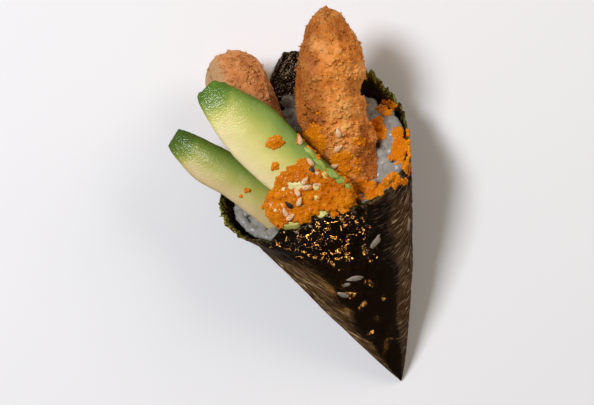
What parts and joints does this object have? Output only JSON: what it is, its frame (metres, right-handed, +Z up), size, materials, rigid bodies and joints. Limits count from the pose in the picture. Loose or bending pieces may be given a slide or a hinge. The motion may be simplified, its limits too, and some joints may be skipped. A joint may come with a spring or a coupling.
{
  "type": "temaki hand roll",
  "caption": "Hand roll lying on its side: a cone of nori filled with rice, crumbed fried prawns, avocado slices and fish roe.",
  "frame": {"origin": "on the flat strip the wrap rests on, under its mouth", "axes": "+Y from the cone's tip towards its mouth, +X to the right seen from above, +Z up from the surface it lies on"},
  "size_m": [0.0805, 0.1327, 0.048],
  "materials": {
    "nori": "dried seaweed sheet, softened and glossy",
    "rice": "cooked grains, moist and translucent",
    "prawn_front": "deep-fried breadcrumb crust, golden",
    "prawn_back": "deep-fried breadcrumb crust, light brown",
    "avocado_front": "ripe flesh, moist",
    "avocado_left": "ripe flesh, moist",
    "roe": "wet fish eggs, orange"
  },
  "bodies": {
    "root": {"nori_wrap": "nori", "rice": "rice", "prawn_front": "prawn_front", "prawn_back": "prawn_back", "avocado_front": "avocado_front", "avocado_left": "avocado_left", "roe": "roe"}
  },
  "joints": []
}
